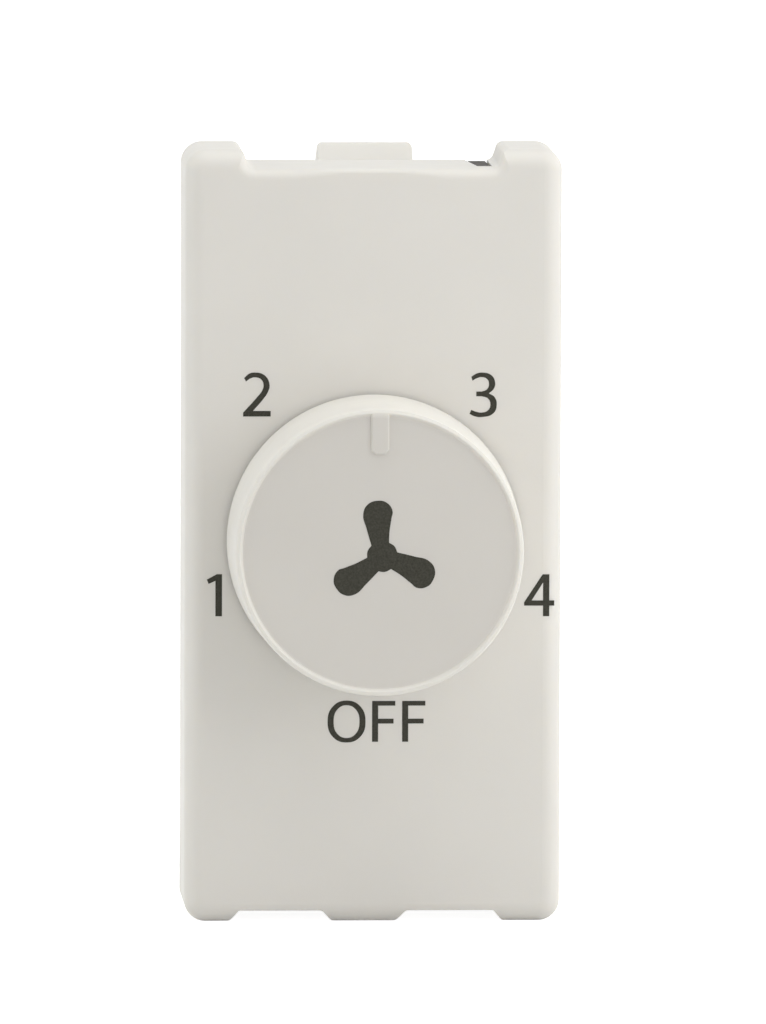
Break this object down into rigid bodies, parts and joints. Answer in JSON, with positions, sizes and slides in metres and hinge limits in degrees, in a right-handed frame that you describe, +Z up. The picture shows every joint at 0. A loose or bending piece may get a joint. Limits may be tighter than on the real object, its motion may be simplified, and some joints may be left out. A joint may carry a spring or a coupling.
{
  "type": "fan speed control switch",
  "caption": "Modular rotary fan speed switch: round knob with a raised pointer on a white front cover with corner ears, over a box-shaped rear housing with clamp terminals.",
  "frame": {"origin": "on the knob's axis, in the plane where the front cover sits on the mounting frame", "axes": "+Z up along the cover's length, +X to the right seen from the front, +Y from the front to the back; the knob faces -Y"},
  "size_m": [0.0224, 0.0418, 0.0461],
  "materials": {
    "cover_plastic": "satin",
    "housing_plastic": "satin",
    "knob_plastic": "satin",
    "spring_steel": "bright",
    "rotor_nylon": "satin",
    "washer_plastic": "matt",
    "phosphor_bronze": "bright",
    "phenolic": "satin",
    "contact_brass": "bright",
    "board_laminate": "satin",
    "capacitor_case": "satin",
    "resistor_lacquer": "lacquered",
    "chip_resistor_ceramic": "glazed",
    "fibre_sheet": "matt",
    "terminal_brass": "bright",
    "plated_steel": "zinc plated"
  },
  "bodies": {
    "case": {"front_cover": "cover_plastic", "rear_housing": "housing_plastic", "thrust_washer": "washer_plastic", "detent_spring": "spring_steel", "contact_base": "phenolic", "common_contact_ring": "contact_brass", "circuit_board": "board_laminate", "large_capacitor": "capacitor_case", "small_capacitor": "capacitor_case", "series_resistor_upper": "resistor_lacquer", "series_resistor_lower": "resistor_lacquer", "bleed_resistor_upper": "chip_resistor_ceramic", "bleed_resistor_lower": "chip_resistor_ceramic", "insulating_barrier": "fibre_sheet", "step_contact_1": "contact_brass", "step_contact_2": "contact_brass", "step_contact_3": "contact_brass", "step_contact_4": "contact_brass", "load_busbar": "terminal_brass", "line_busbar": "terminal_brass"},
    "dial": {"knob": "knob_plastic", "knob_clip": "spring_steel", "rotor": "rotor_nylon", "wiper_contact": "phosphor_bronze"},
    "line_screw": {"line_terminal_screw": "plated_steel"},
    "load_screw": {"load_terminal_screw": "plated_steel"},
    "line_cage": {"line_clamp_cage": "terminal_brass"},
    "load_cage": {"load_clamp_cage": "terminal_brass"}
  },
  "joints": [
    {"name": "knob_turn", "type": "hinge", "parent": "case", "child": "dial", "pos_m": [0, 0, 0], "axis": [0, 1, 0], "continuous": true, "deforming": ["detent_spring"]},
    {"name": "line_screw_turn", "type": "hinge", "parent": "case", "child": "line_screw", "pos_m": [0.00438, 0.02, -0.01303], "axis": [0, -1, 0], "range_deg": [0, 2090]},
    {"name": "line_cage_rise", "type": "slide", "parent": "case", "child": "line_cage", "axis": [0, 1, 0], "range_m": [0, 0.0029]},
    {"name": "load_screw_turn", "type": "hinge", "parent": "case", "child": "load_screw", "pos_m": [-0.00438, 0.02, -0.01303], "axis": [0, -1, 0], "range_deg": [0, 2090]},
    {"name": "load_cage_rise", "type": "slide", "parent": "case", "child": "load_cage", "axis": [0, 1, 0], "range_m": [0, 0.0029]}
  ],
  "couplings": [
    {"joint": "line_screw_turn", "follows": "line_cage_rise", "rad_per_m": 12566},
    {"joint": "load_screw_turn", "follows": "load_cage_rise", "rad_per_m": 12566}
  ]
}
